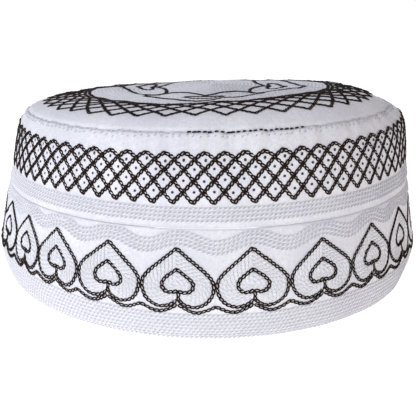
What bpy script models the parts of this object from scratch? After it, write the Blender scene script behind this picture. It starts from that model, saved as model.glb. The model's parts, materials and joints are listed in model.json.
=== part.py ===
"""Two-tier embroidered prayer cap, soft and brimless, standing on its rim.

Three sewn pieces of doubled white cotton: a round domed crown panel, an upper band,
and a lower band that bulges out below it. The bands meet edge to edge in a soft crease
at the fold, and the crown panel is sewn edge to edge to the upper band.
The embroidery is too fine for these solids, so they carry the cloth alone.

Sizes are in millimetres and turn to metres where the mesh is made. +Z is up, the front
of the cap faces -Y, and the origin is the middle of the rim on the surface it stands on.
"""

import math
from collections import namedtuple

import bmesh
import bpy

MM = 0.001

# Driving dimensions
CLOTH = 2.0  # doubled cotton with its embroidery
GAP = 0.3  # left between one piece and the next
HEM_WIDTH = 2.1  # flat underside of the rim
HEM_HEIGHT = 1.3  # inner height of the hem's roll
SEAM_SLOPE = math.radians(50.0)  # both edges at the crown seam face this far above level
SIDES = 76  # facets round the cap
STEPS = 2  # rows of facets from one section of a panel to the next
LIP_STEPS = 3  # rows round each lip of the fold

Section = namedtuple("Section", "height radius")

# Outer face of each piece, from its lowest edge up
LOWER_BAND = (
    Section(0.0, 89.6),  # hem
    Section(2.4, 94.6),  # cloth rolls under to the hem
    Section(8.0, 101.8),
    Section(23.0, 106.8),  # widest, at the lobes of the hearts
    Section(34.0, 105.8),
    Section(43.0, 104.2),
    Section(55.0, 102.6),  # fold
)
UPPER_BAND = (
    Section(LOWER_BAND[-1].height + CLOTH + GAP, 102.2),  # fold
    Section(61.0, 101.4),
    Section(67.0, 100.3),  # lower tips of the lattice
    Section(76.0, 99.2),
    Section(87.0, 97.2),  # cloth starts to round over
    Section(93.6, 93.2),  # crown seam
)
CROWN_PANEL = (
    Section(93.8, 93.0),  # crown seam
    Section(98.4, 83.0),
    Section(101.5, 62.5),
    Section(103.3, 30.0),
    Section(103.6, 0.0),
)

# How the soft cap settles under its own weight
Settle = namedtuple("Settle", "start full rise_right rise_back shift_right sink")
SETTLING = (
    Settle(30.0, 100.0, 0.026, 0.0, 1.6, 0.0),  # the right side stands a little higher
    Settle(84.0, 99.0, 0.0, -0.063, 0.0, 0.0),  # the crown falls away to the back
    Settle(93.0, 101.5, 0.021, 0.0, 0.0, 0.0),  # its dome is highest on the right
    Settle(102.3, 103.5, 0.0, 0.068, 0.0, 1.9),  # its middle sinks and lies level again
)

Dent = namedtuple("Dent", "azimuth height inward down spread_degrees spread_height")
DENTS = (
    Dent(88.0, 97.0, 4.1, 2.5, 36.0, 7.0),  # right shoulder
    Dent(175.0, 101.2, 0.0, 4.3, 58.0, 4.1),  # back of the crown sinks
    Dent(-8.0, 102.2, 0.0, 2.9, 48.0, 0.7),  # hollow in the front of the crown
    Dent(-38.0, 74.0, 0.9, 0.0, 16.0, 14.0),  # front left of the upper band
    Dent(140.0, 80.0, 1.6, 0.0, 22.0, 16.0),  # back right of the upper band
    Dent(205.0, 40.0, 1.2, 0.0, 20.0, 14.0),  # back of the lower band
)

Point = namedtuple("Point", "radius height settle")


def ramp(value, start, full):
    """0 at start, 1 at full, smooth at both ends."""
    share = min(max((value - start) / (full - start), 0.0), 1.0)
    return share * share * (3.0 - 2.0 * share)


def curve(sections):
    """(radius, height) pairs on a smooth curve through the sections."""
    ends = [sections[0], *sections, sections[-1]]
    points = []
    for a, b, c, d in zip(ends, ends[1:], ends[2:], ends[3:]):
        for step in range(STEPS):
            t = step / STEPS
            pair = []
            for field in ("radius", "height"):
                p, q, r, s = (getattr(section, field) for section in (a, b, c, d))
                slope_in = (r - p) / 2.0
                slope_out = (s - q) / 2.0
                bend = 2.0 * q - 2.0 * r + slope_in + slope_out
                sweep = -3.0 * q + 3.0 * r - 2.0 * slope_in - slope_out
                pair.append(q + t * (slope_in + t * (sweep + t * bend)))
            points.append(tuple(pair))
    points.append((sections[-1].radius, sections[-1].height))
    return points


def inward(points, index):
    """Unit direction from the outer face to the inner one, in the profile's plane."""
    before = points[max(index - 1, 0)]
    after = points[min(index + 1, len(points) - 1)]
    along = (after[0] - before[0], after[1] - before[1])
    length = math.hypot(*along)
    return (-along[1] / length, along[0] / length)


def walls(sections, seam=None):
    """Outer points from the bottom up, and the inner ones a cloth's thickness away.

    seam is the index of the point at the crown seam, where the edge has its own slope.
    """
    faces = curve(sections)
    seam_index = None if seam is None else seam % len(faces)
    outer = [Point(radius, height, height) for radius, height in faces]
    inner = []
    for index, (radius, height) in enumerate(faces):
        side, rise = inward(faces, index)
        if radius < GAP:
            side, rise = 0.0, -1.0
        if index == seam_index:
            side, rise = -math.cos(SEAM_SLOPE), -math.sin(SEAM_SLOPE)
        inner.append(Point(radius + CLOTH * side, height + CLOTH * rise, height))
    return outer, inner


def settled(point, angle):
    """World position, in metres, of a profile point at an angle counted from +X."""
    facing = math.degrees(angle) + 90.0
    radius = point.radius
    z = point.height
    for dent in DENTS:
        turn = (facing - dent.azimuth + 180.0) % 360.0 - 180.0
        away = (turn / dent.spread_degrees) ** 2
        away += ((point.settle - dent.height) / dent.spread_height) ** 2
        share = math.exp(-away) * min(point.radius / 60.0, 1.0)
        radius -= dent.inward * share
        z -= dent.down * share
    x = radius * math.cos(angle)
    y = radius * math.sin(angle)
    for way in SETTLING:
        share = ramp(point.settle, way.start, way.full)
        z += share * (x * way.rise_right + y * way.rise_back - way.sink)
        x += share * way.shift_right
    return (x * MM, y * MM, z * MM)


def turned(name, loop, material, closed):
    """Solid of the profile points turned round +Z. An open loop ends on the axis."""
    mesh = bpy.data.meshes.new(name)
    bm = bmesh.new()
    half = math.pi / SIDES
    angles = [-math.pi / 2.0 + half + 2.0 * half * side for side in range(SIDES)]
    rings = []
    for point in loop:
        if point.radius < GAP:
            rings.append([bm.verts.new(settled(point, 0.0))] * SIDES)
        else:
            rings.append([bm.verts.new(settled(point, angle)) for angle in angles])
    pairs = list(zip(rings, rings[1:]))
    if closed:
        pairs.append((rings[-1], rings[0]))
    for low, high in pairs:
        for side in range(SIDES):
            after = (side + 1) % SIDES
            corners = []
            for vert in (low[side], low[after], high[after], high[side]):
                if vert not in corners:
                    corners.append(vert)
            bm.faces.new(corners)
    bmesh.ops.recalc_face_normals(bm, faces=bm.faces)
    bm.to_mesh(mesh)
    bm.free()
    mesh.materials.append(material)
    mesh.shade_smooth()
    mesh.set_sharp_from_angle(angle=math.radians(50.0))
    piece = bpy.data.objects.new(name, mesh)
    bpy.context.scene.collection.objects.link(piece)
    return piece


def cotton(name, colour, roughness):
    """White cotton cloth, matt and not metallic."""
    material = bpy.data.materials.new(name)
    material.use_nodes = True
    shader = material.node_tree.nodes["Principled BSDF"]
    shader.inputs["Base Color"].default_value = (*colour, 1.0)
    shader.inputs["Roughness"].default_value = roughness
    shader.inputs["Metallic"].default_value = 0.0
    return material


def lip(outer, inner, rise):
    """Half round edge between an outer and an inner point. rise is 1 upward, -1 downward."""
    middle = (outer.radius + inner.radius) / 2.0
    points = []
    for step in range(1, LIP_STEPS):
        angle = math.pi * step / LIP_STEPS
        radius = middle + CLOTH / 2.0 * math.cos(angle)
        height = outer.height + rise * CLOTH / 2.0 * math.sin(angle)
        points.append(Point(radius, height, outer.settle))
    return points


def lower_band():
    """Ring wall from the flat hem up to the rounded lip of the fold."""
    outer, inner = walls(LOWER_BAND)
    hem = outer[0]
    roll = [
        Point(hem.radius - HEM_WIDTH, HEM_HEIGHT, 0.0),
        Point(hem.radius - HEM_WIDTH, 0.0, 0.0),
    ]
    loop = outer + lip(outer[-1], inner[-1], 1.0) + inner[:0:-1] + roll
    return turned("lower_band", loop, cotton("lower_cotton", (0.83, 0.84, 0.87), 0.85), True)


def upper_band():
    """Ring wall from its rounded lip at the fold up to the crown seam."""
    outer, inner = walls(UPPER_BAND, seam=-1)
    loop = outer + inner[::-1] + lip(outer[0], inner[0], -1.0)[::-1]
    return turned("upper_band", loop, cotton("upper_cotton", (0.80, 0.81, 0.84), 0.85), True)


def crown_panel():
    """Domed disc, sewn by its edge to the upper band."""
    outer, inner = walls(CROWN_PANEL, seam=0)
    loop = inner[::-1] + outer
    return turned("crown_panel", loop, cotton("crown_cotton", (0.78, 0.79, 0.83), 0.85), False)


def main():
    for leftover in list(bpy.data.objects):
        bpy.data.objects.remove(leftover, do_unlink=True)
    lower_band()
    upper_band()
    crown_panel()


main()
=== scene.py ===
# %% [markdown]
# # An embroidered prayer cap
# The cap is a soft two-tier cap of white cotton. A round crown panel is sewn to an upper
# band, and a lower band bulges out below it. Chain stitch in dark brown thread draws a
# lattice and a row of hearts, and rows of white chain stitch fill the ground.
# This scene dresses the cap's plain solids: it makes the cloth, then every stitch on it.

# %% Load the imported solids
from collections import namedtuple

import bpy
import numpy as np
from mathutils import Matrix
from mathutils.kdtree import KDTree
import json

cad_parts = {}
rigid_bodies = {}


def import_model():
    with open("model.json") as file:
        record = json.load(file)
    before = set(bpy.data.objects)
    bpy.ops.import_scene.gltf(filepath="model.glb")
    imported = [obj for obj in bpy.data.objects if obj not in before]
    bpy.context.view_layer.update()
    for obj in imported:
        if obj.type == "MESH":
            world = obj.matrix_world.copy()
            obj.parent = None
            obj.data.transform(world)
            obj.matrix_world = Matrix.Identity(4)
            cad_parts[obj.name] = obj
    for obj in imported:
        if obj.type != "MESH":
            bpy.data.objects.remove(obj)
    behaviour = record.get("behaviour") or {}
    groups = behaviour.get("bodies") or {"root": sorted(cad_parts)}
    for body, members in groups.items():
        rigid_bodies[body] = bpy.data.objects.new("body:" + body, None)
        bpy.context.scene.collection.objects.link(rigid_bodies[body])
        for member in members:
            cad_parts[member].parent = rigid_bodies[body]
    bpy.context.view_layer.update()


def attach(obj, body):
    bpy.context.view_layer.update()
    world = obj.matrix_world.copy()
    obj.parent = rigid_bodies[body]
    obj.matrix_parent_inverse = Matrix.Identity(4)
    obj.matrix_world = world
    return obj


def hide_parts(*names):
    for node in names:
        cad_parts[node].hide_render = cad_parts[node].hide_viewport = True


for leftover in list(bpy.data.objects):
    bpy.data.objects.remove(leftover, do_unlink=True)
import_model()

MM = 0.001
random = np.random.default_rng(7)

# %% [markdown]
# ## Camera
# A long lens stands 56 cm in front of the cap's middle and looks down on it by 15.5
# degrees. Its place was found by fitting the cap's outline and stitch rows to the
# photograph, so the numbers are measured ones. The photograph is 416 pixels wide, and the
# focal length was found in its pixels.

# %% Camera
PHOTO_WIDTH = 416
FOCAL_PIXELS = 1102.2
SENSOR = 36.0
CAMERA_PLACE = (-7.68, -560.0, 195.87)
LOOK_DOWN, LOOK_RIGHT, TILT = 0.271, 0.014, 0.005  # radians

camera_data = bpy.data.cameras.new("camera")
camera_data.sensor_fit = "HORIZONTAL"
camera_data.sensor_width = SENSOR
camera_data.lens = SENSOR * FOCAL_PIXELS / PHOTO_WIDTH
camera_data.clip_end = 50.0
camera = bpy.data.objects.new("camera", camera_data)
aim = Matrix.Rotation(-LOOK_RIGHT, 4, "Z") @ Matrix.Rotation(np.pi / 2 - LOOK_DOWN, 4, "X")
camera.matrix_world = (
    Matrix.Translation([value * MM for value in CAMERA_PLACE])
    @ aim
    @ Matrix.Rotation(TILT, 4, "Z")
)
bpy.context.scene.collection.objects.link(camera)
bpy.context.scene.camera = camera
print("lens", round(camera_data.lens, 2), "mm")

# %% [markdown]
# ## The cap's form
# A sewn cap is a turned form that has sagged a little. The same section tables as in the
# solids give the outer face of each panel, so the cloth lies where the solids are. They
# could be read from the solids' meshes, but a table gives a smooth curve at any fineness.
# Each section is a height and a radius in millimetres, from a panel's lowest edge up.

# %% Sections of the three panels
CLOTH = 2.0
LOWER_BAND = ((0.0, 89.6), (2.4, 94.6), (8.0, 101.8), (23.0, 106.8), (34.0, 105.8),
              (43.0, 104.2), (55.0, 102.6))
UPPER_BAND = ((57.3, 102.2), (61.0, 101.4), (67.0, 100.3), (76.0, 99.2), (87.0, 97.2),
              (93.6, 93.2))
CROWN_PANEL = ((93.8, 93.0), (98.4, 83.0), (101.5, 62.5), (103.3, 30.0), (103.6, 0.0))
LOWER_FOLD, UPPER_FOLD = LOWER_BAND[-1][0], UPPER_BAND[0][0]
BAND_SEAM, CROWN_SEAM = UPPER_BAND[-1][0], CROWN_PANEL[0][1]
SEAM_OUTWARD = np.array((np.cos(np.radians(50.0)), np.sin(np.radians(50.0))))
SEAM_TURN = 4.0  # the faces turn to the seam's direction over this length


def smooth(points, steps=24):
    """A fine smooth line through (a, b) points."""
    points = np.asarray(points, float)
    ends = np.vstack((points[:1], points, points[-1:]))
    t = np.linspace(0.0, 1.0, steps, endpoint=False)[:, None]
    line = []
    for p, q, r, s in zip(ends, ends[1:], ends[2:], ends[3:]):
        slope_in = (r - p) / 2.0
        slope_out = (s - q) / 2.0
        bend = 2.0 * q - 2.0 * r + slope_in + slope_out
        sweep = -3.0 * q + 3.0 * r - 2.0 * slope_in - slope_out
        line.append(q + t * (slope_in + t * (sweep + t * bend)))
    return np.vstack((*line, points[-1:]))


def ramp(value, start, full):
    """0 at start, 1 at full, smooth at both ends."""
    share = np.clip((value - start) / (full - start), 0.0, 1.0)
    return share * share * (3.0 - 2.0 * share)


# %% [markdown]
# Each panel is looked up by one number: the height on a band, the radius on the crown.
# With it goes the direction that points out of the cloth. Both edges at the crown seam
# face 50 degrees above level, as they do in the solids, so the edges meet cleanly.

# %% Faces of the panels
Face = namedtuple("Face", "along radius height out_radius out_height")


def face_of(sections, seam_at_start=False, seam_at_end=False):
    """The outer face of a panel, in the order of rising height or radius."""
    line = smooth(sections)
    height, radius = line[:, 0], line[:, 1]
    outward = np.stack((np.gradient(height), -np.gradient(radius)), axis=1)
    outward /= np.linalg.norm(outward, axis=1, keepdims=True)
    reach = np.concatenate(((0.0,), np.cumsum(np.hypot(np.diff(radius), np.diff(height)))))
    turn = np.zeros(len(reach))
    if seam_at_start:
        turn = 1.0 - ramp(reach, 0.0, SEAM_TURN)
    if seam_at_end:
        turn = ramp(reach, reach[-1] - SEAM_TURN, reach[-1])
    outward += turn[:, None] * (SEAM_OUTWARD - outward)
    outward /= np.linalg.norm(outward, axis=1, keepdims=True)
    if seam_at_start:
        return Face(radius[::-1], radius[::-1], height[::-1], *outward[::-1].T)
    return Face(height, radius, height, *outward.T)


FACES = {
    "lower_band": face_of(LOWER_BAND),
    "upper_band": face_of(UPPER_BAND, seam_at_end=True),
    "crown_panel": face_of(CROWN_PANEL, seam_at_start=True),
}
for name, face in FACES.items():
    print(name, "from", round(float(face.along[0]), 1), "to", round(float(face.along[-1]), 1))

# %% [markdown]
# ### How it has settled
# Standing empty, the cap leans a little to one side, its crown falls away to the back, the
# crown's middle has sunk and a few soft dents show. The solids settle in the same way.

# %% Settling
Settle = namedtuple("Settle", "start full rise_right rise_back shift_right sink")
SETTLING = (
    Settle(30.0, 100.0, 0.026, 0.0, 1.6, 0.0),  # the right side stands a little higher
    Settle(84.0, 99.0, 0.0, -0.063, 0.0, 0.0),  # the crown falls away to the back
    Settle(93.0, 101.5, 0.021, 0.0, 0.0, 0.0),  # its dome is highest on the right
    Settle(102.3, 103.5, 0.0, 0.068, 0.0, 1.9),  # its middle sinks and lies level again
)
Dent = namedtuple("Dent", "azimuth height inward down spread_degrees spread_height")
DENTS = (
    Dent(88.0, 97.0, 4.1, 2.5, 36.0, 7.0),  # right shoulder
    Dent(175.0, 101.2, 0.0, 4.3, 58.0, 4.1),  # back of the crown
    Dent(-8.0, 102.2, 0.0, 2.9, 48.0, 0.7),  # hollow in the front of the crown
    Dent(-38.0, 74.0, 0.9, 0.0, 16.0, 14.0),  # front left of the upper band
    Dent(140.0, 80.0, 1.6, 0.0, 22.0, 16.0),  # back right of the upper band
    Dent(205.0, 40.0, 1.2, 0.0, 20.0, 14.0),  # back of the lower band
)
DENT_RADIUS = 60.0  # dents fade from here to the middle


def settled(radius, height, level, azimuth):
    """Places in millimetres. azimuth is in degrees, 0 at the front and 90 at the right."""
    rim_share = np.minimum(radius / DENT_RADIUS, 1.0)
    z = height + 0.0 * radius
    for dent in DENTS:
        turn = (azimuth - dent.azimuth + 180.0) % 360.0 - 180.0
        away = (turn / dent.spread_degrees) ** 2
        away = away + ((level - dent.height) / dent.spread_height) ** 2
        share = np.exp(-away) * rim_share
        radius = radius - dent.inward * share
        z = z - dent.down * share
    x = radius * np.sin(np.radians(azimuth))
    y = -radius * np.cos(np.radians(azimuth))
    for way in SETTLING:
        share = ramp(level, way.start, way.full)
        z = z + share * (x * way.rise_right + y * way.rise_back - way.sink)
        x = x + share * way.shift_right
    return np.stack(np.broadcast_arrays(x, y, z), axis=-1)


def placed(panel, azimuth, along, proud=0.0, beyond=0.0):
    """Places on a panel, proud of its outer face and beyond along its slope."""
    face = FACES[panel]
    radius, height, out_radius, out_height = (
        np.interp(along, face.along, values) for values in face[1:]
    )
    return settled(
        radius + proud * out_radius - beyond * out_height,
        height + proud * out_height + beyond * out_radius,
        height,
        azimuth,
    )


print("front of the fold", placed("lower_band", 0.0, LOWER_FOLD).round(1))

# %% [markdown]
# ## The lattice and its puffed diamonds
# Seventy arches stand side by side under the crown seam. Each strand runs down from an
# arch over two and a half columns, and crosses the strands that run the other way. The
# stitches pull the cloth down along the strands, so each diamond puffs, with a punched
# eyelet in its middle. One table of a strand's line, as (columns across, height), gives
# both the stitches and the puffs.

# %% Strands of the band lattice
COLUMNS = 70
COLUMN = 360.0 / COLUMNS
FIRST_ARCH = -2.4
STRAND = smooth(((0.0, 87.9), (0.2, 87.4), (0.5, 85.9), (1.0, 81.8), (1.5, 77.1),
                 (2.0, 72.1), (2.5, 67.2)))
EYELET_ROWS = ((85.6, 0.0), (81.9, 0.5), (77.2, 0.0), (72.2, 0.5))
LATTICE_RADIUS = 99.0
LATTICE_FOOT, LATTICE_HEAD = (66.5, 69.0), (86.6, 88.6)  # heights where the puffs fade
DIMPLE_LEFT = 0.6  # a dimple's middle lies this far left of its eyelet
DIMPLE_WIDE, DIMPLE_HIGH = 1.2, 1.0


def lattice_puff(azimuth, height):
    """1 in the middle of each diamond, 0 on the strands and off the lattice."""
    column = (azimuth - FIRST_ARCH) / COLUMN
    offset = np.interp(height, STRAND[::-1, 1], STRAND[::-1, 0])
    puff = np.abs(np.sin(np.pi * (column - offset)) * np.sin(np.pi * (column + offset)))
    return np.sqrt(puff) * ramp(height, *LATTICE_FOOT) * (1.0 - ramp(height, *LATTICE_HEAD))


def eyelet_dimple(azimuth, height):
    """1 beside each eyelet, where the awl has pressed the cloth in, and 0 elsewhere."""
    dimple = 0.0
    for level, shift in EYELET_ROWS:
        column = (azimuth - FIRST_ARCH) / COLUMN - shift
        across = np.radians((column - np.round(column)) * COLUMN) * LATTICE_RADIUS + DIMPLE_LEFT
        above = height - level
        dimple = dimple + np.exp(-((across / DIMPLE_WIDE) ** 2) - (above / DIMPLE_HIGH) ** 2)
    return dimple


print("eyelets:", COLUMNS * len(EYELET_ROWS))

# %% [markdown]
# ## Relief of the cloth
# Cotton that is stitched all over is never flat. It sinks into the crown seam, gathers and
# puckers beside it, sinks into the crease at the fold, and ripples gently everywhere. A
# simulation could make this, but a cap that is stiff with stitches hardly moves, so it is
# formed here.
# The crown's middle also stands a little proud and the cloth behind it lies lower, so that
# the middle hides the far side of the ring, as in the photograph.

# %% Relief
# In millimetres: how high or deep each form is, and how far it spreads from its line
RIPPLE, PUFF, PRESSED_IN, GATHER = 0.28, 0.38, 0.5, 0.15
CREASE, CREASE_SPREAD = 0.35, 1.5
PUCKER, PUCKER_SPREAD = 0.18, 4.0
SEAM_SINK, SEAM_SPREAD = 0.34, 1.1
MIDDLE_RISE, BACK_FALL = 1.2, 1.0
# Heights or radii between which a form comes in
HEM_RIPPLES, CROWN_RIPPLES, GATHERED = (0.0, 12.0), (5.0, 60.0), (84.0, 89.0)
MIDDLE_EDGE, BACK_EDGE, RIM_EDGE = (6.0, 34.0), (12.0, 34.0), (66.0, 90.0)
GATHER_WAVES = ((41.0, 1.0), (67.0, 0.0), (29.0, 2.0))
ripple_waves = [
    (turns, random.uniform(0.04, 0.16), random.uniform(0.0, 6.28), random.uniform(0.4, 1.0))
    for turns in (3, 5, 8, 11, 17, 23)
]


def relief(panel, azimuth, along):
    """How far the cloth stands proud of the smooth form, in millimetres."""
    around = np.radians(azimuth)
    raised = 0.0 * azimuth * along
    for turns, slant, start, share in ripple_waves:
        raised = raised + RIPPLE * share / 2.0 * np.sin(turns * around + slant * along + start)
    if panel == "crown_panel":
        back = -along * np.cos(around)
        raised = raised * ramp(along, *CROWN_RIPPLES)
        raised = raised + MIDDLE_RISE * (1.0 - ramp(along, *MIDDLE_EDGE))
        raised = raised - BACK_FALL * ramp(back, *BACK_EDGE) * (1.0 - ramp(along, *RIM_EDGE))
        edge = CROWN_SEAM - along
    elif panel == "upper_band":
        raised = raised + PUFF * lattice_puff(azimuth, along)
        raised = raised - PRESSED_IN * eyelet_dimple(azimuth, along)
        raised = raised - CREASE * np.exp(-((along - UPPER_FOLD) / CREASE_SPREAD) ** 2)
        gathers = sum(np.sin(turns * around + start) for turns, start in GATHER_WAVES)
        raised = raised + GATHER * gathers * ramp(along, *GATHERED)
        edge = BAND_SEAM - along
    else:
        raised = raised * ramp(along, *HEM_RIPPLES)
        return raised - CREASE * np.exp(-((along - LOWER_FOLD) / CREASE_SPREAD) ** 2)
    pucker = np.sin(92.0 * around + 0.5 * edge) + 0.6 * np.sin(61.0 * around - 0.7 * edge + 1.0)
    raised = raised + PUCKER * pucker * np.exp(-edge / PUCKER_SPREAD)
    return raised - SEAM_SINK * np.exp(-((edge / SEAM_SPREAD) ** 2))


seen = np.linspace(-60.0, 60.0, 121)
print("relief at the seam", relief("upper_band", seen, BAND_SEAM).round(1)[::20])

# %% [markdown]
# ## Cutting the cloth
# Each panel is a closed shell: an outer face, an edge, an inner face and an edge again. It
# is built as rows of points round the cap, which gives even quads. Its UV map is in real
# lengths, 1 unit for 100 mm, so that the weave keeps its size; every row of a band counts
# as 640 mm round, which is right at the fold and near enough elsewhere.

# %% Shells of cloth
UV_UNIT = 100.0
BAND_ROUND = 640.0
INNER_SHARE = 0.5  # the inner face has half the outer face's relief
EDGE_SHARE = 0.6


def new_piece(name, vertices, faces):
    """A smooth-shaded piece from points in millimetres."""
    mesh = bpy.data.meshes.new(name)
    mesh.from_pydata(vertices * MM, [], faces)
    mesh.shade_smooth()
    piece = bpy.data.objects.new(name, mesh)
    bpy.context.scene.collection.objects.link(piece)
    return piece


def shell(name, panel, loop, columns, closed):
    """A panel's cloth. loop has rows of along, proud, beyond and share of the relief."""
    loop = np.asarray(loop, float)
    azimuth = np.arange(columns)[None, :] * 360.0 / columns
    along, proud, beyond, share = (loop[:, column : column + 1] for column in range(4))
    proud = proud + share * relief(panel, azimuth, along)
    points = placed(panel, azimuth, along, proud, beyond)
    rows = len(loop)
    low = np.arange(rows if closed else rows - 1)
    high = (low + 1) % rows
    here = np.arange(columns)
    after = (here + 1) % columns
    quads = np.stack(
        np.broadcast_arrays(
            low[:, None] * columns + here, low[:, None] * columns + after,
            high[:, None] * columns + after, high[:, None] * columns + here,
        ), axis=-1,
    ).reshape(-1, 4)
    vertices = points.reshape(-1, 3)
    faces = quads.tolist()
    if not closed:
        middles = vertices[[0, -1]] * (0.0, 0.0, 1.0)
        middles[:, :2] = points[[0, -1]].mean(axis=1)[:, :2]
        inner, outer = len(vertices), len(vertices) + 1
        top = (rows - 1) * columns
        vertices = np.vstack((vertices, middles))
        faces += [(inner, int(b), int(a)) for a, b in zip(here, after)]
        faces += [(outer, int(top + a), int(top + b)) for a, b in zip(here, after)]
    piece = new_piece(name, vertices, faces)
    mesh = piece.data
    corner = np.empty(len(mesh.loops), dtype=np.int32)
    mesh.loops.foreach_get("vertex_index", corner)
    if panel == "crown_panel":
        uv = vertices[corner, :2] / UV_UNIT
    else:
        length = np.linalg.norm(np.diff(points[:, 0], axis=0), axis=1)
        reach = np.concatenate(((0.0,), np.cumsum(length)))
        row, column = corner // columns, corner % columns
        quad_of = np.arange(len(corner)) // 4
        wraps = (column == 0) & (quad_of % columns == columns - 1)
        turned = np.where(wraps, columns, column) * BAND_ROUND / columns
        uv = np.stack((turned, reach[row]), axis=1)
        uv /= UV_UNIT
    mesh.uv_layers.new(name="cut").data.foreach_set("uv", uv.ravel().astype(np.float32))
    print(name, len(mesh.polygons), "faces")
    return piece


def half_round(along, rise):
    """Rounded edge from the outer face to the inner one. rise is 1 upward, -1 downward."""
    turn = np.radians((30.0, 60.0, 90.0, 120.0, 150.0))
    half = CLOTH / 2.0
    return [
        (along, half * (np.cos(a) - 1.0), rise * half * np.sin(a), EDGE_SHARE) for a in turn
    ]


# %% Lower band cloth
outer = [(height, 0.0, 0.0, 1.0) for height in np.linspace(0.25, LOWER_FOLD, 40)]
inner = [(height, -CLOTH, 0.0, INNER_SHARE) for height in np.linspace(LOWER_FOLD, 1.5, 12)]
hem = [(0.25, -1.9, -0.05, 0.0), (0.1, -1.4, -0.1, 0.0), (0.1, -0.5, -0.1, 0.0)]
loop = outer + half_round(LOWER_FOLD, 1.0) + inner + hem
lower_cloth = shell("lower_cloth", "lower_band", loop, columns=320, closed=True)

# %% Upper band cloth
outer = [(height, 0.0, 0.0, 1.0) for height in np.linspace(UPPER_FOLD, BAND_SEAM, 34)]
inner = [(height, -CLOTH, 0.0, INNER_SHARE) for height in np.linspace(BAND_SEAM, UPPER_FOLD, 8)]
loop = outer + inner + half_round(UPPER_FOLD, -1.0)[::-1]
upper_cloth = shell("upper_cloth", "upper_band", loop, columns=560, closed=True)

# %% Crown cloth
inner = [(radius, -CLOTH, 0.0, INNER_SHARE) for radius in np.linspace(1.5, CROWN_SEAM, 8)]
outer = [(radius, 0.0, 0.0, 1.0) for radius in np.linspace(CROWN_SEAM, 1.5, 52)]
crown_cloth = shell("crown_cloth", "crown_panel", inner + outer, columns=260, closed=False)

for piece, node in (
    (lower_cloth, "lower_band"), (upper_cloth, "upper_band"), (crown_cloth, "crown_panel")
):
    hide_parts(node)
    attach(piece, "root")

# %% [markdown]
# ## Chain stitch
# A chain stitch is a row of thread loops. Each loop starts narrow inside the one before,
# opens out, and is held down at its round end by the next. The loops follow each other
# about every 2.15 mm. The brown ones are about 2 mm wide, the white ones 1.5 mm, all in
# soft thread 0.7 to 0.8 mm across. One link is made once as a small closed tube and then
# copied along every line by arithmetic, which is far quicker than thousands of objects.
# Each link differs slightly, as hand-guided stitches do.

# %% One link, copied along a line
Route = namedtuple("Route", "panel azimuth along")
# The thread's half thickness across and up, the loop's half width and height, the degrees
# that it leans to one side, and the sections round it
Thread = namedtuple("Thread", "across up half_width height lean rounds")
HEART_THREAD = Thread(0.35, 0.27, 0.65, 0.36, 14.0, 8)
LATTICE_THREAD = Thread(0.40, 0.27, 0.66, 0.36, 14.0, 8)
CROWN_THREAD = Thread(0.36, 0.21, 0.57, 0.27, 12.0, 8)
RING_THREAD = Thread(0.40, 0.13, 0.62, 0.16, 12.0, 8)
WHITE_THREAD = Thread(0.34, 0.24, 0.42, 0.24, 26.0, 6)
CROWN_WHITE = Thread(0.34, 0.12, 0.42, 0.10, 26.0, 6)
SIDES = 4
PITCH = 2.15
LOOP_MIDDLE, LOOP_REACH = 0.47, 0.56  # in pitches, so each loop overlaps the next
GIRTH, WIDENING = 0.92, 0.20  # wider at the round end
HELD_UP, DROOP = 0.62, 0.38  # and lower there
CLEARANCE = 1.3
WIDTH_VARIES, SIDE_VARIES, RISE_VARIES = 0.06, 0.05, 0.025


def one_link(thread):
    """Points, quads and UVs of a link that lies along x, from 0 to 1, with z up."""
    turn = 2.0 * np.pi * np.arange(thread.rounds) / thread.rounds
    x = (LOOP_MIDDLE - LOOP_REACH * np.cos(turn)) * PITCH
    y = thread.half_width * np.sin(turn) * (GIRTH - WIDENING * np.cos(turn))
    z = thread.height * (HELD_UP + DROOP * np.cos(turn))
    lean = np.radians(thread.lean)
    middle = np.stack(
        (PITCH / 2 + (x - PITCH / 2) * np.cos(lean) - y * np.sin(lean),
         (x - PITCH / 2) * np.sin(lean) + y * np.cos(lean)), axis=1)
    ahead = np.roll(middle, -1, axis=0) - np.roll(middle, 1, axis=0)
    ahead /= np.linalg.norm(ahead, axis=1, keepdims=True)
    section = 2.0 * np.pi * np.arange(SIDES) / SIDES + np.pi / 2.0
    points = np.empty((thread.rounds, SIDES, 3))
    points[:, :, 0] = (middle[:, :1] + thread.across * np.cos(section) * ahead[:, 1:]) / PITCH
    points[:, :, 1] = middle[:, 1:] - thread.across * np.cos(section) * ahead[:, :1]
    points[:, :, 2] = z[:, None] + thread.up * np.sin(section)
    step, side = np.meshgrid(range(thread.rounds), range(SIDES), indexing="ij")
    corners = [(0, 0), (0, 1), (1, 1), (1, 0)]
    quads = np.stack(
        [(step + a) % thread.rounds * SIDES + (side + b) % SIDES for a, b in corners], axis=-1
    ).reshape(-1, 4)
    uv = np.stack([np.stack((step + a, side + b), axis=-1) for a, b in corners], axis=2)
    uv = uv.reshape(-1, 4, 2) / (thread.rounds, SIDES)
    return points.reshape(-1, 3), quads, uv


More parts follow.
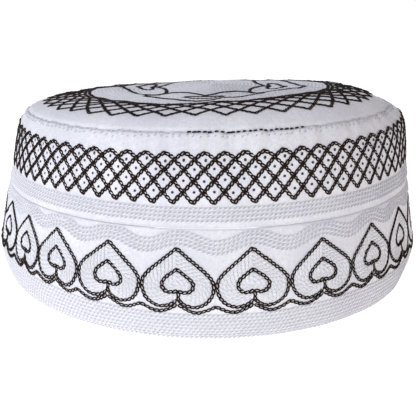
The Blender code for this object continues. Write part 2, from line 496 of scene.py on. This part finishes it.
def links_along(routes):
    """Start, forward, sideways and outward vectors of every link on the routes."""
    found = []
    for route in routes:
        azimuth, along = np.asarray(route.azimuth), np.asarray(route.along)
        raised = relief(route.panel, azimuth, along)
        line = placed(route.panel, azimuth, along, raised)
        outward = placed(route.panel, azimuth, along, 1.0) - placed(route.panel, azimuth, along)
        steps = np.linalg.norm(np.diff(line, axis=0), axis=1)
        reach = np.concatenate(((0.0,), np.cumsum(steps)))
        count = max(int(round(reach[-1] / PITCH)), 1)
        at = np.linspace(0.0, reach[-1], count + 1)
        knots = np.stack([np.interp(at, reach, line[:, k]) for k in range(3)], axis=1)
        middle = (at[1:] + at[:-1]) / 2.0
        out = np.stack([np.interp(middle, reach, outward[:, k]) for k in range(3)], axis=1)
        found.append(np.hstack((knots[:-1], np.diff(knots, axis=0), out)))
    found = np.vstack(found)
    start, forward, out = found[:, :3], found[:, 3:6], found[:, 6:]
    side = np.cross(out, forward)
    side /= np.linalg.norm(side, axis=1, keepdims=True)
    out = np.cross(forward, side)
    out /= np.linalg.norm(out, axis=1, keepdims=True)
    return start, forward, side, out


def chain(name, routes, thread, lift=0.0, clear_of=None, clearance=CLEARANCE):
    """Chain stitch along routes, as one piece. Links near the points in clear_of are left out."""
    start, forward, side, out = links_along(routes)
    middle = start + forward / 2.0
    if clear_of is not None:
        tree = KDTree(len(clear_of))
        for index, point in enumerate(clear_of):
            tree.insert(point, index)
        tree.balance()
        keep = np.array([tree.find(point)[2] > clearance for point in middle])
        start, forward, side, out = (values[keep] for values in (start, forward, side, out))
        middle = middle[keep]
    count = len(start)
    points, quads, uv = one_link(thread)
    width = random.normal(1.0, WIDTH_VARIES, (count, 1, 1))
    sway = random.normal(0.0, SIDE_VARIES, (count, 1, 1))
    rise = lift + random.normal(0.0, RISE_VARIES, (count, 1, 1))
    along = points[None, :, 0:1]
    vertices = (
        start[:, None]
        + along * forward[:, None]
        + (points[None, :, 1:2] * width + sway) * side[:, None]
        + (points[None, :, 2:3] + rise) * out[:, None]
    ).reshape(-1, 3)
    faces = (quads[None] + np.arange(count)[:, None, None] * len(points)).reshape(-1, 4)
    piece = new_piece(name, vertices, faces)
    layer = piece.data.uv_layers.new(name="thread")
    layer.data.foreach_set("uv", np.tile(uv.reshape(-1), count).astype(np.float32))
    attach(piece, "root")
    print(name, count, "links", 2 * len(faces), "triangles")
    return piece, middle


# %% [markdown]
# ## Lattice on the upper band
# The strands that lean right are stitched first and the ones that lean left cross over
# them, so the second set lies a little higher.

# %% Band lattice
lattice_routes = []
for lean in (1.0, -1.0):
    lattice_routes.append([
        Route("upper_band", FIRST_ARCH + COLUMN * (arch + lean * STRAND[:, 0]), STRAND[:, 1])
        for arch in range(COLUMNS)
    ])
lattice_right, _ = chain("lattice_right", lattice_routes[0], LATTICE_THREAD)
lattice_left, _ = chain("lattice_left", lattice_routes[1], LATTICE_THREAD, lift=0.14)

# %% [markdown]
# ## Hearts on the lower band
# Twenty-two hearts stand side by side with their tips up. Inside each is a small heart on
# a short stem, and a second line follows the lobes below. They are worked one by one: the
# seven in front are as wide as in the photograph, six of them lean as they do there, and
# the others share the rest of the turn. All rows ride up at the sides, where the cloth is
# drawn up. Half an outline is (degrees across, height) for a heart 18 degrees wide.

# %% Heart outlines
HEARTS = 22
SEEN_JUNCTIONS = (-62.2, -48.8, -34.0, -16.8, 1.2, 19.5, 37.8, 53.4)
SEEN_LEANS = (-1.1, -0.6, -0.7, -0.4, 0.1, 0.4)
LEAN_VARIES, LEAN_HEIGHTS = 0.5, (27.0, 50.0)
UNSEEN = HEARTS - len(SEEN_JUNCTIONS) + 1
unseen_junctions = np.linspace(SEEN_JUNCTIONS[-1], SEEN_JUNCTIONS[0] + 360.0, UNSEEN + 1)[1:]
JUNCTIONS = np.concatenate((SEEN_JUNCTIONS, unseen_junctions))
DRAWN_WIDTH = 18.0
OUTLINE = smooth(((0.0, 47.4), (3.7, 41.8), (7.1, 36.4), (8.4, 33.3), (8.62, 30.5),
                  (8.25, 27.2), (7.2, 24.2), (5.6, 22.2), (4.0, 21.5), (2.3, 22.0),
                  (1.0, 23.3), (0.3, 24.8)), steps=10)
SMALL_HEART = smooth(((0.0, 38.3), (1.7, 36.1), (3.3, 33.6), (3.85, 31.4), (3.5, 29.4),
                      (2.4, 28.3), (1.1, 28.2), (0.1, 28.8)), steps=10)
LOWER_LINE = smooth(((9.0, 21.9), (7.6, 20.6), (6.0, 19.3), (4.5, 18.8), (3.0, 19.5),
                     (1.6, 20.9), (0.25, 22.6)), steps=10)
STEM = np.array(((0.1, 28.6), (0.2, 26.5), (0.35, 24.0)))
RIDE_HEIGHT = (2.0, 16.5, 31.0, 47.0, 55.0)
RIDE_SHARE = (0.5, 7.0, 7.0, 3.6, 3.6)


def ride_up(azimuth, height):
    """A row's height, raised towards the sides of the cap."""
    share = np.sin(np.radians(azimuth)) ** 2
    return height + share * np.interp(height, RIDE_HEIGHT, RIDE_SHARE)


def heart_route(heart, half, mirrored):
    """A route on the lower band from a half outline."""
    side = -1.0 if mirrored else 1.0
    azimuth = heart_axes[heart] + side * half[:, 0] * heart_widths[heart] / DRAWN_WIDTH
    azimuth = azimuth + heart_leans[heart] * ramp(half[:, 1], *LEAN_HEIGHTS)
    return Route("lower_band", azimuth, ride_up(azimuth, half[:, 1]))


heart_axes = (JUNCTIONS[:-1] + JUNCTIONS[1:]) / 2.0
heart_widths = np.diff(JUNCTIONS)
heart_leans = random.normal(0.0, LEAN_VARIES, HEARTS)
heart_leans[1 : 1 + len(SEEN_LEANS)] = SEEN_LEANS
heart_routes = []
for heart in range(HEARTS):
    for mirrored in (False, True):
        for half in (OUTLINE, SMALL_HEART, LOWER_LINE):
            heart_routes.append(heart_route(heart, half, mirrored))
    heart_routes.append(heart_route(heart, STEM, False))
heart_chain, heart_middles = chain("heart_chain", heart_routes, HEART_THREAD)

# %% [markdown]
# ## Lattice, circles and rosette on the crown
# The crown repeats the lattice with forty points that face outward. Two chains close it
# off. Inside them four wide hearts, tips outward, stand round a disc of white rows. The
# nearest one is a little wider than the others, as in the photograph. Half an outline is
# (outward, across) in millimetres.

# %% Crown lattice and circles
POINTS = 40
POINT_STEP = 360.0 / POINTS
FIRST_POINT = 3.15
CROWN_STRAND = smooth(((0.0, 85.3), (0.5, 80.6), (1.0, 76.0), (1.5, 72.0), (2.0, 68.6),
                       (2.5, 66.0)))
crown_routes = []
for lean in (1.0, -1.0):
    crown_routes.append([
        Route("crown_panel", FIRST_POINT + POINT_STEP * (point + lean * CROWN_STRAND[:, 0]),
              CROWN_STRAND[:, 1])
        for point in range(POINTS)
    ])
CIRCLE_RADII = (62.2, 64.4)
full_turn = np.linspace(JUNCTIONS[0], JUNCTIONS[-1], 721)


def level_row(panel, along):
    """A route once round a panel, at one height or radius."""
    return Route(panel, full_turn, np.full(len(full_turn), along))


circle_routes = [level_row("crown_panel", radius) for radius in CIRCLE_RADII]
crown_lattice_right, _ = chain("crown_lattice_right", crown_routes[0], CROWN_THREAD)
crown_lattice_left, _ = chain("crown_lattice_left", crown_routes[1], CROWN_THREAD, lift=0.1)
crown_circles, circle_middles = chain("crown_circles", circle_routes, RING_THREAD, lift=0.05)

# %% Crown rosette
ROSETTE_AXIS = -7.0
TIP_LEANS, TIP_LEAN_RADII = (-1.0, -11.0, -5.0, -11.0), (26.0, 50.0)
ROSETTE_OUTLINE = smooth(((50.0, 0.0), (46.2, 8.0), (42.2, 15.5), (37.8, 22.0), (33.0, 26.0),
                          (28.0, 26.8), (23.8, 24.2), (21.2, 19.0), (21.2, 13.0), (22.9, 7.8),
                          (25.2, 3.6), (27.8, 0.3)), steps=10)
NEAR_OUTLINE = smooth(((50.0, 0.0), (46.4, 8.5), (42.6, 16.5), (38.8, 23.5), (34.2, 28.3),
                       (29.8, 28.6), (25.6, 25.6), (21.0, 22.2), (18.4, 16.6), (20.4, 9.6),
                       (24.4, 4.0), (27.6, 0.3)), steps=10)
ROSETTE_SMALL = smooth(((40.0, 0.0), (37.2, 4.4), (34.2, 8.6), (31.6, 9.8), (29.8, 7.8),
                        (29.8, 3.6), (31.2, 0.2)), steps=10)
ROSETTE_STEM = np.array(((31.2, 0.0), (29.0, 0.0), (27.0, 0.0)))


def crown_route(axis, lean, half, mirrored):
    """A route on the crown from a half outline."""
    outward, across = half[:, 0], half[:, 1] * (-1.0 if mirrored else 1.0)
    across = across + lean * ramp(outward, *TIP_LEAN_RADII)
    azimuth = axis + np.degrees(np.arctan2(across, outward))
    return Route("crown_panel", azimuth, np.hypot(outward, across))


rosette_routes = []
for quarter, lean in enumerate(TIP_LEANS):
    axis = ROSETTE_AXIS + 90.0 * quarter
    outline = ROSETTE_OUTLINE if quarter else NEAR_OUTLINE
    for mirrored in (False, True):
        for half in (outline, ROSETTE_SMALL):
            rosette_routes.append(crown_route(axis, lean, half, mirrored))
    rosette_routes.append(crown_route(axis, lean, ROSETTE_STEM, False))
rosette_chain, rosette_middles = chain("rosette_chain", rosette_routes, RING_THREAD, lift=0.15)

# %% [markdown]
# ## White rows
# White chain stitch fills most of the ground: rows round the rim, swags over the hearts,
# rows that follow each heart's outline inside it, rows under the lattice, and rows round
# and round the crown. A row that meets a brown line stops short of it on both sides.

# %% Rows on the lower band
ROW = 1.85
RIM_LOWEST, RIM_HIGHEST = 2.6, 17.6
SWAGS, SWAG_LOWEST, SWAG_HIGHEST, SWAG_HANG = 4, 47.3, 54.6, 2.1
rim_routes = [
    Route("lower_band", full_turn, ride_up(full_turn, height))
    for height in np.arange(RIM_LOWEST, RIM_HIGHEST, ROW)
]
rim_rows, _ = chain("rim_rows", rim_routes, WHITE_THREAD)

heart_turn = np.interp(full_turn, JUNCTIONS, np.arange(HEARTS + 1))
hang = -SWAG_HANG * np.cos(2.0 * np.pi * heart_turn)
swag_routes = []
for row in range(SWAGS):
    height = ride_up(full_turn, SWAG_LOWEST + ROW * row + hang)
    swag_routes.append(Route("lower_band", full_turn, np.minimum(height, SWAG_HIGHEST)))
swag_rows, _ = chain("swag_rows", swag_routes, WHITE_THREAD)

# %% Rows inside the hearts
MM_PER_DEGREE = 1.86
HEART_MIDDLE = np.array((0.0, 32.0))


def along_outline(half):
    """60 points at even distances along a half outline."""
    steps = np.linalg.norm(np.diff(half * (MM_PER_DEGREE, 1.0), axis=0), axis=1)
    reach = np.concatenate(((0.0,), np.cumsum(steps)))
    at = np.linspace(0.0, 1.0, 60) * reach[-1]
    return np.stack([np.interp(at, reach, half[:, k]) for k in range(2)], axis=1)


big, small = along_outline(OUTLINE), along_outline(SMALL_HEART)
fill = [big + share * (small - big) for share in (0.2, 0.4, 0.6, 0.79)]
fill += [small + share * (HEART_MIDDLE - small) for share in (0.28, 0.56, 0.84)]
fill_routes = [
    heart_route(heart, half, mirrored)
    for heart in range(HEARTS) for mirrored in (False, True) for half in fill
]
heart_rows, _ = chain("heart_rows", fill_routes, WHITE_THREAD, clear_of=heart_middles)

# %% Rows under the lattice
FOOT_HEIGHTS = (59.6, 61.4, 63.2, 65.0)
foot_routes = [level_row("upper_band", height) for height in FOOT_HEIGHTS]
foot_rows, _ = chain("foot_rows", foot_routes, WHITE_THREAD)

# %% Rows on the crown
CROWN_ROW, CROWN_INNER, CROWN_OUTER = 2.0, 2.5, 60.6
crown_radii = np.arange(CROWN_INNER, CROWN_OUTER, CROWN_ROW)
crown_row_routes = [level_row("crown_panel", radius) for radius in crown_radii]
brown_crown = np.vstack((rosette_middles, circle_middles))
crown_rows, _ = chain(
    "crown_rows", crown_row_routes, CROWN_WHITE, clear_of=brown_crown, clearance=1.6
)

# %% [markdown]
# ## Seam stitches and eyelets
# The crown is whipped to the band with two rows of short slanting stitches. For about
# 50 mm at the front the seam's dark under-thread shows as dashes. Each eyelet is a hole
# punched with an awl, dark because light hardly reaches its bottom. A real hole would need
# a much finer mesh, so each is a small dark dish that lies just proud of the cloth.

# %% Short stitches
STEP_ASIDE = 0.1  # degrees
LENGTH_VARIES = 0.1


def stitches(name, panel, azimuth, along, slant, length, thick):
    """Short straight stitches, each a thin spindle of four sides."""
    count = len(azimuth)
    tip = np.radians(slant)
    raised = relief(panel, azimuth, along)
    middle = placed(panel, azimuth, along, raised)
    out = placed(panel, azimuth, along, 1.0) - placed(panel, azimuth, along)
    round_it = placed(panel, azimuth + STEP_ASIDE, along) - placed(panel, azimuth, along)
    round_it /= np.linalg.norm(round_it, axis=1, keepdims=True)
    up = np.cross(out, round_it)
    forward = np.cos(tip) * round_it + np.sin(tip) * up
    side = np.cross(out, forward)
    # Where the spindle's rings lie along it, their thickness, and how far it bows out there
    t = np.array((-0.5, -0.42, -0.15, 0.15, 0.42, 0.5))
    girth = np.array((0.25, 0.85, 1.0, 1.0, 0.85, 0.25)) * thick / 2.0
    bow = np.array((-0.1, 0.1, 0.22, 0.22, 0.1, -0.1))
    ring = 2.0 * np.pi * np.arange(SIDES) / SIDES
    spans = length * random.normal(1.0, LENGTH_VARIES, (count, 1, 1, 1))
    vertices = (
        middle[:, None, None]
        + spans * t[None, :, None, None] * forward[:, None, None]
        + (girth[:, None] * np.cos(ring))[None, :, :, None] * side[:, None, None]
        + (bow[:, None] + girth[:, None] * np.sin(ring))[None, :, :, None] * out[:, None, None]
    ).reshape(-1, 3)
    step, turn = np.meshgrid(range(len(t) - 1), range(SIDES), indexing="ij")
    corners = [(0, 0), (1, 0), (1, 1), (0, 1)]
    quads = np.stack(
        [(step + a) * SIDES + (turn + b) % SIDES for a, b in corners], axis=-1
    ).reshape(-1, 4)
    faces = (quads[None] + np.arange(count)[:, None, None] * len(t) * SIDES).reshape(-1, 4)
    piece = new_piece(name, vertices, faces)
    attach(piece, "root")
    print(name, count, "stitches")
    return piece


# %% Seam
# Turns are in degrees, heights and how far a stitch strays up or down in millimetres
WHIP_HEIGHTS, WHIP_STEP, WHIP_STRAYS, WHIP_STRAYS_UP = (93.2, 92.2), 1.8, 0.25, 0.2
DASH_HEIGHT, DASH_STEP, DASH_STRAYS = 93.45, 1.5, 0.15
DASH_FROM, DASH_TO = -7.0, 25.6
seam_turn = np.tile(np.arange(0.0, 360.0, WHIP_STEP), len(WHIP_HEIGHTS))
seam_height = np.repeat(WHIP_HEIGHTS, len(seam_turn) // len(WHIP_HEIGHTS))
seam_turn = seam_turn + random.normal(0.0, WHIP_STRAYS, len(seam_turn))
seam_height = seam_height + random.normal(0.0, WHIP_STRAYS_UP, len(seam_turn))
seam_whip = stitches(
    "seam_whip", "upper_band", seam_turn, seam_height, slant=38.0, length=1.4, thick=0.32
)
dash_turn = np.arange(DASH_FROM, DASH_TO, DASH_STEP)
dash_turn = dash_turn + random.normal(0.0, DASH_STRAYS, len(dash_turn))
dash_height = np.full(len(dash_turn), DASH_HEIGHT)
seam_dashes = stitches(
    "seam_dashes", "upper_band", dash_turn, dash_height, slant=4.0, length=1.8, thick=0.8
)

# %% Eyelets
EYELET_LIFT = 0.2
EYELET_RINGS = ((0.62, 0.06), (0.46, 0.02), (0.2, -0.04))  # radius and height of each
EYELET_SIDES = 8
EYELET_STRAYS, EYELET_STRAYS_UP = 0.2, 0.25
eyelet_turn = np.concatenate([
    FIRST_ARCH + COLUMN * (np.arange(COLUMNS) + shift) for _, shift in EYELET_ROWS
])
eyelet_height = np.repeat([level for level, _ in EYELET_ROWS], COLUMNS)
eyelet_turn = eyelet_turn + random.normal(0.0, EYELET_STRAYS, len(eyelet_turn))
eyelet_height = eyelet_height + random.normal(0.0, EYELET_STRAYS_UP, len(eyelet_turn))
around = np.arange(EYELET_SIDES) * 2.0 * np.pi / EYELET_SIDES
rings = []
for radius, depth in EYELET_RINGS:
    turn = eyelet_turn[:, None] + np.degrees(radius * np.cos(around) / LATTICE_RADIUS)
    level = eyelet_height[:, None] + radius * np.sin(around)
    cloth = relief("upper_band", turn, level)
    rings.append(placed("upper_band", turn, level, cloth + EYELET_LIFT + depth))
vertices = np.stack(rings, axis=1)
numbers = np.arange(vertices[..., 0].size).reshape(vertices.shape[:3])
faces = []
for dish in numbers.tolist():
    for outside, inside in zip(dish, dish[1:]):
        faces += zip(outside, outside[1:] + outside[:1], inside[1:] + inside[:1], inside)
    faces.append(tuple(dish[-1]))
eyelets = new_piece("eyelets", vertices.reshape(-1, 3), faces)
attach(eyelets, "root")
print("eyelets", len(vertices))

# %% [markdown]
# ## Materials
# Colours are given as on a screen, in sRGB, and turned to the linear values that Blender
# shades with. One helper adds a node with its settings and links.

# %% Colours and nodes
def linear(text):
    """An sRGB hex colour as a linear RGBA value."""
    parts = np.array([int(text[k : k + 2], 16) for k in (1, 3, 5)]) / 255.0
    value = np.where(parts <= 0.04045, parts / 12.92, ((parts + 0.055) / 1.055) ** 2.4)
    return (*value.tolist(), 1.0)


def add(tree, kind, settings, links):
    """A node with its settings and links. A setting names a property or an input."""
    made = tree.nodes.new(kind)
    for name, value in settings.items():
        if isinstance(name, int) or name in made.inputs:
            made.inputs[name].default_value = value
        else:
            setattr(made, name, value)
    for name, source in links.items():
        tree.links.new(source, made.inputs[name])
    return made


def new_material(name):
    """An empty material with its shader."""
    material = bpy.data.materials.new(name)
    material.use_nodes = True
    return material, material.node_tree, material.node_tree.nodes["Principled BSDF"]


print("bleached cotton as linear values", [round(value, 3) for value in linear("#F5F5F7")])

# %% [markdown]
# ### Bleached cotton poplin
# The cloth is a plain weave of fine white threads, some of them thicker for a stretch, the
# slubs. It is matt, with a soft sheen at grazing angles from the fibre ends. Its threads
# are 0.25 mm apart, too fine to show at this size, so the weave is drawn at 0.8 mm and
# kept faint. Slubs come every 1.4 mm, and patches 36 mm wide are a little greyer.

# %% Bleached cotton poplin
WEAVE = 0.8
WAVE_AT_SCALE_1 = 0.31416  # the wave texture's own wavelength
SLUBS, PATCHES = 700.0, 28.0  # to a metre
material, tree, shader = new_material("bleached_cotton_poplin")
uv = add(tree, "ShaderNodeUVMap", {"uv_map": "cut"}, {})
threads = WAVE_AT_SCALE_1 / (WEAVE / UV_UNIT)
warp = add(tree, "ShaderNodeTexWave",
           {"bands_direction": "X", "Scale": threads, "Distortion": 0.6},
           {"Vector": uv.outputs["UV"]})
weft = add(tree, "ShaderNodeTexWave",
           {"bands_direction": "Y", "Scale": threads, "Distortion": 0.6},
           {"Vector": uv.outputs["UV"]})
weave = add(tree, "ShaderNodeMath", {"operation": "MULTIPLY"},
            {0: warp.outputs["Fac"], 1: weft.outputs["Fac"]})
place = add(tree, "ShaderNodeTexCoord", {}, {})
slubs = add(tree, "ShaderNodeTexNoise", {"Scale": SLUBS, "Detail": 2.0},
            {"Vector": place.outputs["Object"]})
shade = add(tree, "ShaderNodeTexNoise", {"Scale": PATCHES, "Detail": 2.0},
            {"Vector": place.outputs["Object"]})
mottle = add(tree, "ShaderNodeMath", {"operation": "MULTIPLY"},
             {0: shade.outputs["Fac"], 1: slubs.outputs["Fac"]})
spread = add(tree, "ShaderNodeMapRange", {"From Min": 0.12, "From Max": 0.40},
             {"Value": mottle.outputs["Value"]})
colour = add(tree, "ShaderNodeMix",
             {"data_type": "RGBA", 6: linear("#E2E2E9"), 7: linear("#F5F5F7")},
             {"Factor": spread.outputs["Result"]})
height = add(tree, "ShaderNodeMath", {"operation": "ADD"},
             {0: weave.outputs["Value"], 1: slubs.outputs["Fac"]})
bump = add(tree, "ShaderNodeBump", {"Strength": 0.5, "Distance": 0.2 * MM},
           {"Height": height.outputs["Value"]})
tree.links.new(colour.outputs[2], shader.inputs["Base Color"])
tree.links.new(bump.outputs["Normal"], shader.inputs["Normal"])
shader.inputs["Roughness"].default_value = 0.88
shader.inputs["Specular IOR Level"].default_value = 0.25
shader.inputs["Sheen Weight"].default_value = 0.15
shader.inputs["Sheen Roughness"].default_value = 0.5
cotton_poplin = material
print(cotton_poplin.name, "weave", WEAVE, "mm, wave scale", round(threads, 1))

# %% [markdown]
# ### Mercerised cotton thread
# The embroidery thread is cotton treated so that it swells round and shines a little. It
# is twisted; the real grooves are too fine to show, so one broad slanting groove winds
# along each loop. Its colour drifts at random every 2.4 mm, about once a loop, and the
# lighter colour stands in for the loops' sheen, a painted highlight. A painted shade
# darkens each loop's narrow start, where the loops crowd and would shade each other. The
# rows inside the hearts and on the crown are the same white thread painted lighter and
# given more shine, with a fainter painted shade, because they look brighter in the
# photograph. The seam is sewn with the same white thread painted grey, a painted shade
# for the seam's recess.

# %% Mercerised thread
# The colour drifts at random, and its lighter colour stands in for the sheen, a painted highlight
DRIFTS_AND_SHEEN = 420.0  # to a metre
TWIST = 0.5  # the wave texture's scale for one groove to a loop
TWIST_SLANT = 0.7  # radians
# How far round the loop the painted shade is deepest
SHADED_AT = 0.8  # radians round the loop


def mercerised(name, dark, light, crowd_shade, specular):
    """Twisted mercerised cotton between two colours, with painted shade where the loops crowd."""
    material, tree, shader = new_material(name)
    uv = add(tree, "ShaderNodeUVMap", {"uv_map": "thread"}, {})
    slanted = add(tree, "ShaderNodeMapping", {"Rotation": (0.0, 0.0, TWIST_SLANT)},
                  {"Vector": uv.outputs["UV"]})
    twist = add(tree, "ShaderNodeTexWave", {"bands_direction": "X", "Scale": TWIST},
                {"Vector": slanted.outputs["Vector"]})
    place = add(tree, "ShaderNodeTexCoord", {}, {})
    drift_and_sheen = add(tree, "ShaderNodeTexNoise", {"Scale": DRIFTS_AND_SHEEN, "Detail": 2.0},
                {"Vector": place.outputs["Object"]})
    # A random drift from the dark to the light colour; the light one is partly painted sheen
    colour = add(tree, "ShaderNodeMix", {"data_type": "RGBA", 6: linear(dark), 7: linear(light)},
                 {"Factor": drift_and_sheen.outputs["Fac"]})
    parts = add(tree, "ShaderNodeSeparateXYZ", {}, {"Vector": uv.outputs["UV"]})
    turn = add(tree, "ShaderNodeMath", {"operation": "MULTIPLY", 1: 2.0 * np.pi},
               {0: parts.outputs["X"]})
    flank = add(tree, "ShaderNodeMath", {"operation": "SUBTRACT", 1: SHADED_AT},
                {0: turn.outputs["Value"]})
    end = add(tree, "ShaderNodeMath", {"operation": "COSINE"}, {0: flank.outputs["Value"]})
    crowd_shade_share = add(tree, "ShaderNodeMapRange", {"From Min": 0.0, "From Max": 0.9},
                {"Value": end.outputs["Value"]})
    # The third colour is painted shade at each loop's narrow start, where the loops crowd
    shaded = add(tree, "ShaderNodeMix", {"data_type": "RGBA", 7: linear(crowd_shade)},
                 {"Factor": crowd_shade_share.outputs["Result"], 6: colour.outputs[2]})
    bump = add(tree, "ShaderNodeBump", {"Strength": 0.4, "Distance": 0.06 * MM},
               {"Height": twist.outputs["Fac"]})
    tree.links.new(shaded.outputs[2], shader.inputs["Base Color"])
    tree.links.new(bump.outputs["Normal"], shader.inputs["Normal"])
    shader.inputs["Roughness"].default_value = 0.6
    shader.inputs["Specular IOR Level"].default_value = specular
    return material


# Each thread's last colour is its painted shade where the loops crowd
brown_cotton = mercerised("brown_mercerised_cotton", "#20140D", "#40291C", "#120A06", 0.15)
white_cotton = mercerised("white_mercerised_cotton", "#F3F3F7", "#FDFDFD", "#CECED8", 0.3)
# The same white thread painted lighter, with a fainter painted shade, for the rows in the hearts
# and on the crown
painted_lighter_cotton = mercerised("white_mercerised_cotton_painted_lighter", "#F8F8FB", "#FFFFFF", "#EAEAF1", 0.8)
# The same white thread painted grey: painted shade for the seam's recess
seam_shaded_cotton = mercerised("white_cotton_painted_seam_shade", "#B6B6C0", "#D0D0D8", "#BEBEC8", 0.2)
print("threads:", *(made.name for made in (brown_cotton, white_cotton, painted_lighter_cotton, seam_shaded_cotton)))

# %% [markdown]
# ### Cotton in the eyelets
# Inside an eyelet is the same cotton, but in its own shade. The dish is too shallow to
# shade itself, so its colour is a bluish near-black, mottled as loose fibres would do.

# %% Lining of the eyelets
FIBRES = 900.0  # to a metre
eyelet_shade, tree, shader = new_material("shaded_cotton_eyelet")
place = add(tree, "ShaderNodeTexCoord", {}, {})
fuzz = add(tree, "ShaderNodeTexNoise", {"Scale": FIBRES}, {"Vector": place.outputs["Object"]})
colour = add(tree, "ShaderNodeMix",
             {"data_type": "RGBA", 6: linear("#1A1922"), 7: linear("#4A4957")},
             {"Factor": fuzz.outputs["Fac"]})
tree.links.new(colour.outputs[2], shader.inputs["Base Color"])
shader.inputs["Roughness"].default_value = 0.9
print(eyelet_shade.name, "fibres", round(1000.0 / FIBRES, 1), "mm apart")

# %% Dress the pieces
cloths = (lower_cloth, upper_cloth, crown_cloth)
brown = (lattice_right, lattice_left, heart_chain, crown_lattice_right, crown_lattice_left,
         crown_circles, rosette_chain, seam_dashes)
white = (rim_rows, swag_rows, foot_rows)
# The rows in the hearts and on the crown get the white thread painted lighter
painted_lighter = (heart_rows, crown_rows)
for piece in cloths:
    piece.data.materials.append(cotton_poplin)
for piece in brown:
    piece.data.materials.append(brown_cotton)
for piece in white + painted_lighter:
    piece.data.materials.append(painted_lighter_cotton if piece in painted_lighter else white_cotton)
# The whip stitches are white thread painted grey, a painted shade
seam_whip.data.materials.append(seam_shaded_cotton)
eyelets.data.materials.append(eyelet_shade)
print(len(cloths), "cloths,", len(brown), "brown,", len(white), "white and", len(painted_lighter), "painted_lighter")

# %% [markdown]
# ## Floor and light
# The cap stands on a lit white acrylic panel, which gives the photograph's pure white
# ground and lights the rim from below. Soft daylight comes cool from the front left. The
# room is dimmer and warmer on the right, with a weak warm lamp there.

# %% Floor
FLOOR_HALF = 6.0
FLOOR_DROP = 0.2 * MM  # the hem never lies in the floor's own plane
mesh = bpy.data.meshes.new("floor")
corners = [(FLOOR_HALF * x, FLOOR_HALF * y, 0.0) for x, y in ((-1, -1), (1, -1), (1, 1), (-1, 1))]
mesh.from_pydata(corners, [], [(0, 1, 2, 3)])
floor = bpy.data.objects.new("floor", mesh)
floor.location = (0.0, 0.0, -FLOOR_DROP)
bpy.context.scene.collection.objects.link(floor)
acrylic, tree, shader = new_material("lit_white_acrylic")
shader.inputs["Base Color"].default_value = linear("#AAAAAA")
shader.inputs["Roughness"].default_value = 0.95
shader.inputs["Specular IOR Level"].default_value = 0.1
shader.inputs["Emission Color"].default_value = linear("#FFFFFF")
shader.inputs["Emission Strength"].default_value = 0.92
mesh.materials.append(acrylic)
print("floor", 2.0 * FLOOR_HALF, "m wide")


# %% Light
def soft_light(name, place, aim, size, watts, colour):
    """A square area lamp that looks at a point."""
    data = bpy.data.lights.new(name, "AREA")
    data.shape = "SQUARE"
    data.size = size
    data.energy = watts
    data.color = linear(colour)[:3]
    lamp = bpy.data.objects.new(name, data)
    lamp.location = place
    ahead = np.array(aim) - np.array(place)
    yaw = np.arctan2(ahead[0], ahead[1])
    pitch = np.arctan2(ahead[2], np.hypot(ahead[0], ahead[1]))
    lamp.matrix_world = (
        Matrix.Translation(place)
        @ Matrix.Rotation(-yaw, 4, "Z")
        @ Matrix.Rotation(np.pi / 2 + pitch, 4, "X")
    )
    bpy.context.scene.collection.objects.link(lamp)
    print(name, watts, "W")


soft_light("window", place=(-0.8, -1.15, 0.52), aim=(0.0, 0.0, 0.05), size=0.6, watts=6.6,
           colour="#F0F1FA")
soft_light("fill", place=(1.3, -0.4, 0.1), aim=(0.0, 0.0, 0.04), size=0.7, watts=1.4,
           colour="#FFC8A0")

# %% Room
ROOM_COOL_TO, ROOM_WARM_AT = -0.3, 1.0  # from the far left, -1, to the far right, 1
world = bpy.data.worlds.new("daylit_room")
bpy.context.scene.world = world
world.use_nodes = True
tree = world.node_tree
way = add(tree, "ShaderNodeTexCoord", {}, {})
parts = add(tree, "ShaderNodeSeparateXYZ", {}, {"Vector": way.outputs["Generated"]})
across = add(tree, "ShaderNodeMapRange", {"From Min": ROOM_COOL_TO, "From Max": ROOM_WARM_AT},
             {"Value": parts.outputs["X"]})
daylight = add(tree, "ShaderNodeMix",
               {"data_type": "RGBA", 6: linear("#D0D3DC"), 7: linear("#7E736C")},
               {"Factor": across.outputs["Result"]})
tree.links.new(daylight.outputs[2], tree.nodes["Background"].inputs["Color"])
bpy.context.scene.view_settings.view_transform = "Standard"
print("room", world.name)
